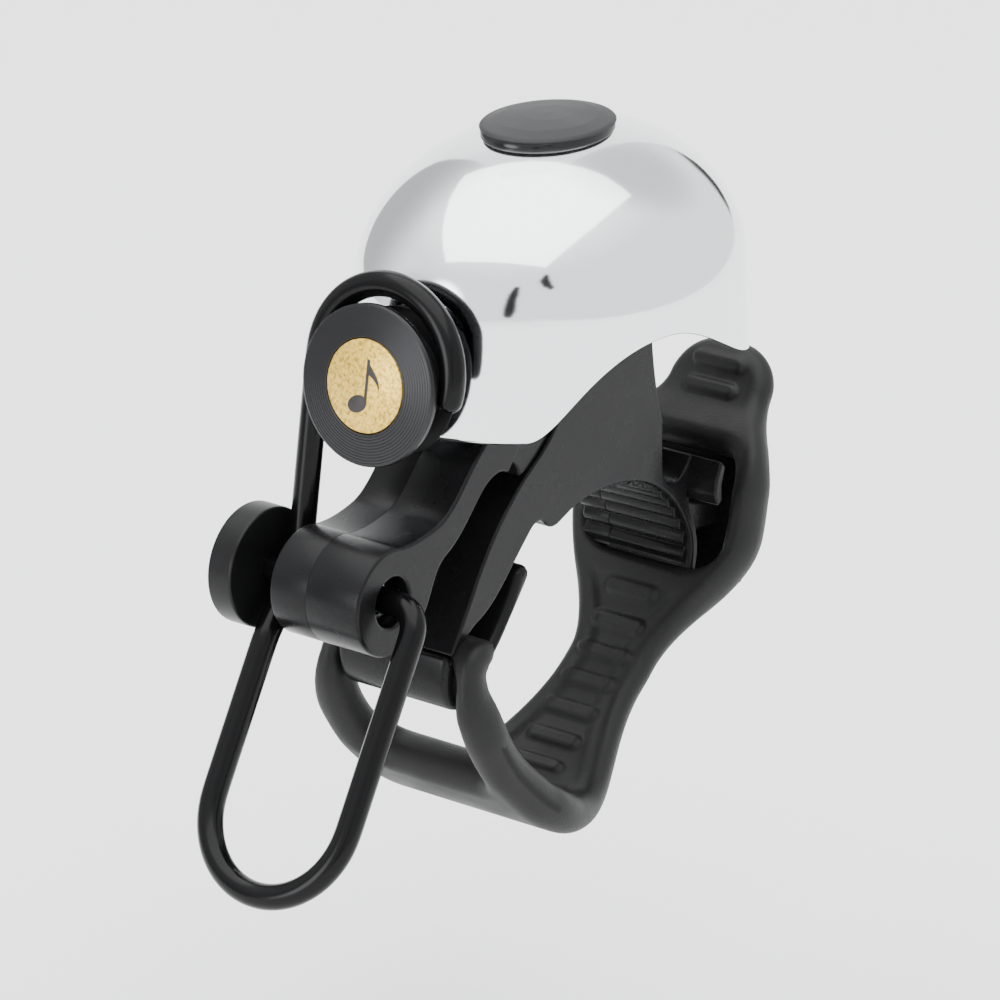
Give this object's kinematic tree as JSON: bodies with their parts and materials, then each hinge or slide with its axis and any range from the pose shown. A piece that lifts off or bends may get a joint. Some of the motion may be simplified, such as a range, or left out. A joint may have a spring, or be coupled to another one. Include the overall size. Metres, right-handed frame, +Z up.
{
  "type": "bicycle bell",
  "caption": "Bicycle bell: helmet-shaped chrome dome on a moulded saddle, struck by a disc-faced clapper on a bent wire finger lever, held to the handlebar by a hooked rubber strap.",
  "frame": {"origin": "on the handlebar's axis, at the middle of the bracket's width", "axes": "+X along the handlebar, towards the barrel's open end; -Y forwards, the side of the clapper and lever; +Z up, from the handlebar to the top of the bell"},
  "size_m": [0.035, 0.0794, 0.0713],
  "materials": {
    "chrome_shell": "bright chrome plate",
    "zinc_steel": "bright zinc-plated steel",
    "cap_plastic": "fine matte texture",
    "black_nylon": "semi-matte moulded nylon",
    "black_wire": "gloss black coated steel wire",
    "black_disc": "satin black turned disc",
    "badge_foil": "pale gold speckled inlay",
    "strap_rubber": "matte moulded rubber"
  },
  "bodies": {
    "mount": {"bell_dome": "chrome_shell", "dome_grommet": "strap_rubber", "spring_washer": "zinc_steel", "dome_screw": "zinc_steel", "captive_nut": "zinc_steel", "dome_cap": "cap_plastic", "saddle_body": "black_nylon", "lever_bracket": "black_nylon", "return_spring": "zinc_steel", "rubber_strap": "strap_rubber"},
    "lever": {"lever_wire": "black_wire", "axle_cap": "cap_plastic", "axle_push_nut": "zinc_steel", "clapper_disc": "black_disc", "clapper_badge": "badge_foil", "clapper_hub": "black_nylon"}
  },
  "joints": [
    {"name": "lever_swing", "type": "hinge", "parent": "mount", "child": "lever", "pos_m": [0, -0.0352, 0.0127], "axis": [1, 0, 0], "range_deg": [0, 30], "stiffness_Nm_per_rad": 0.05, "springref_deg": -17.19}
  ]
}
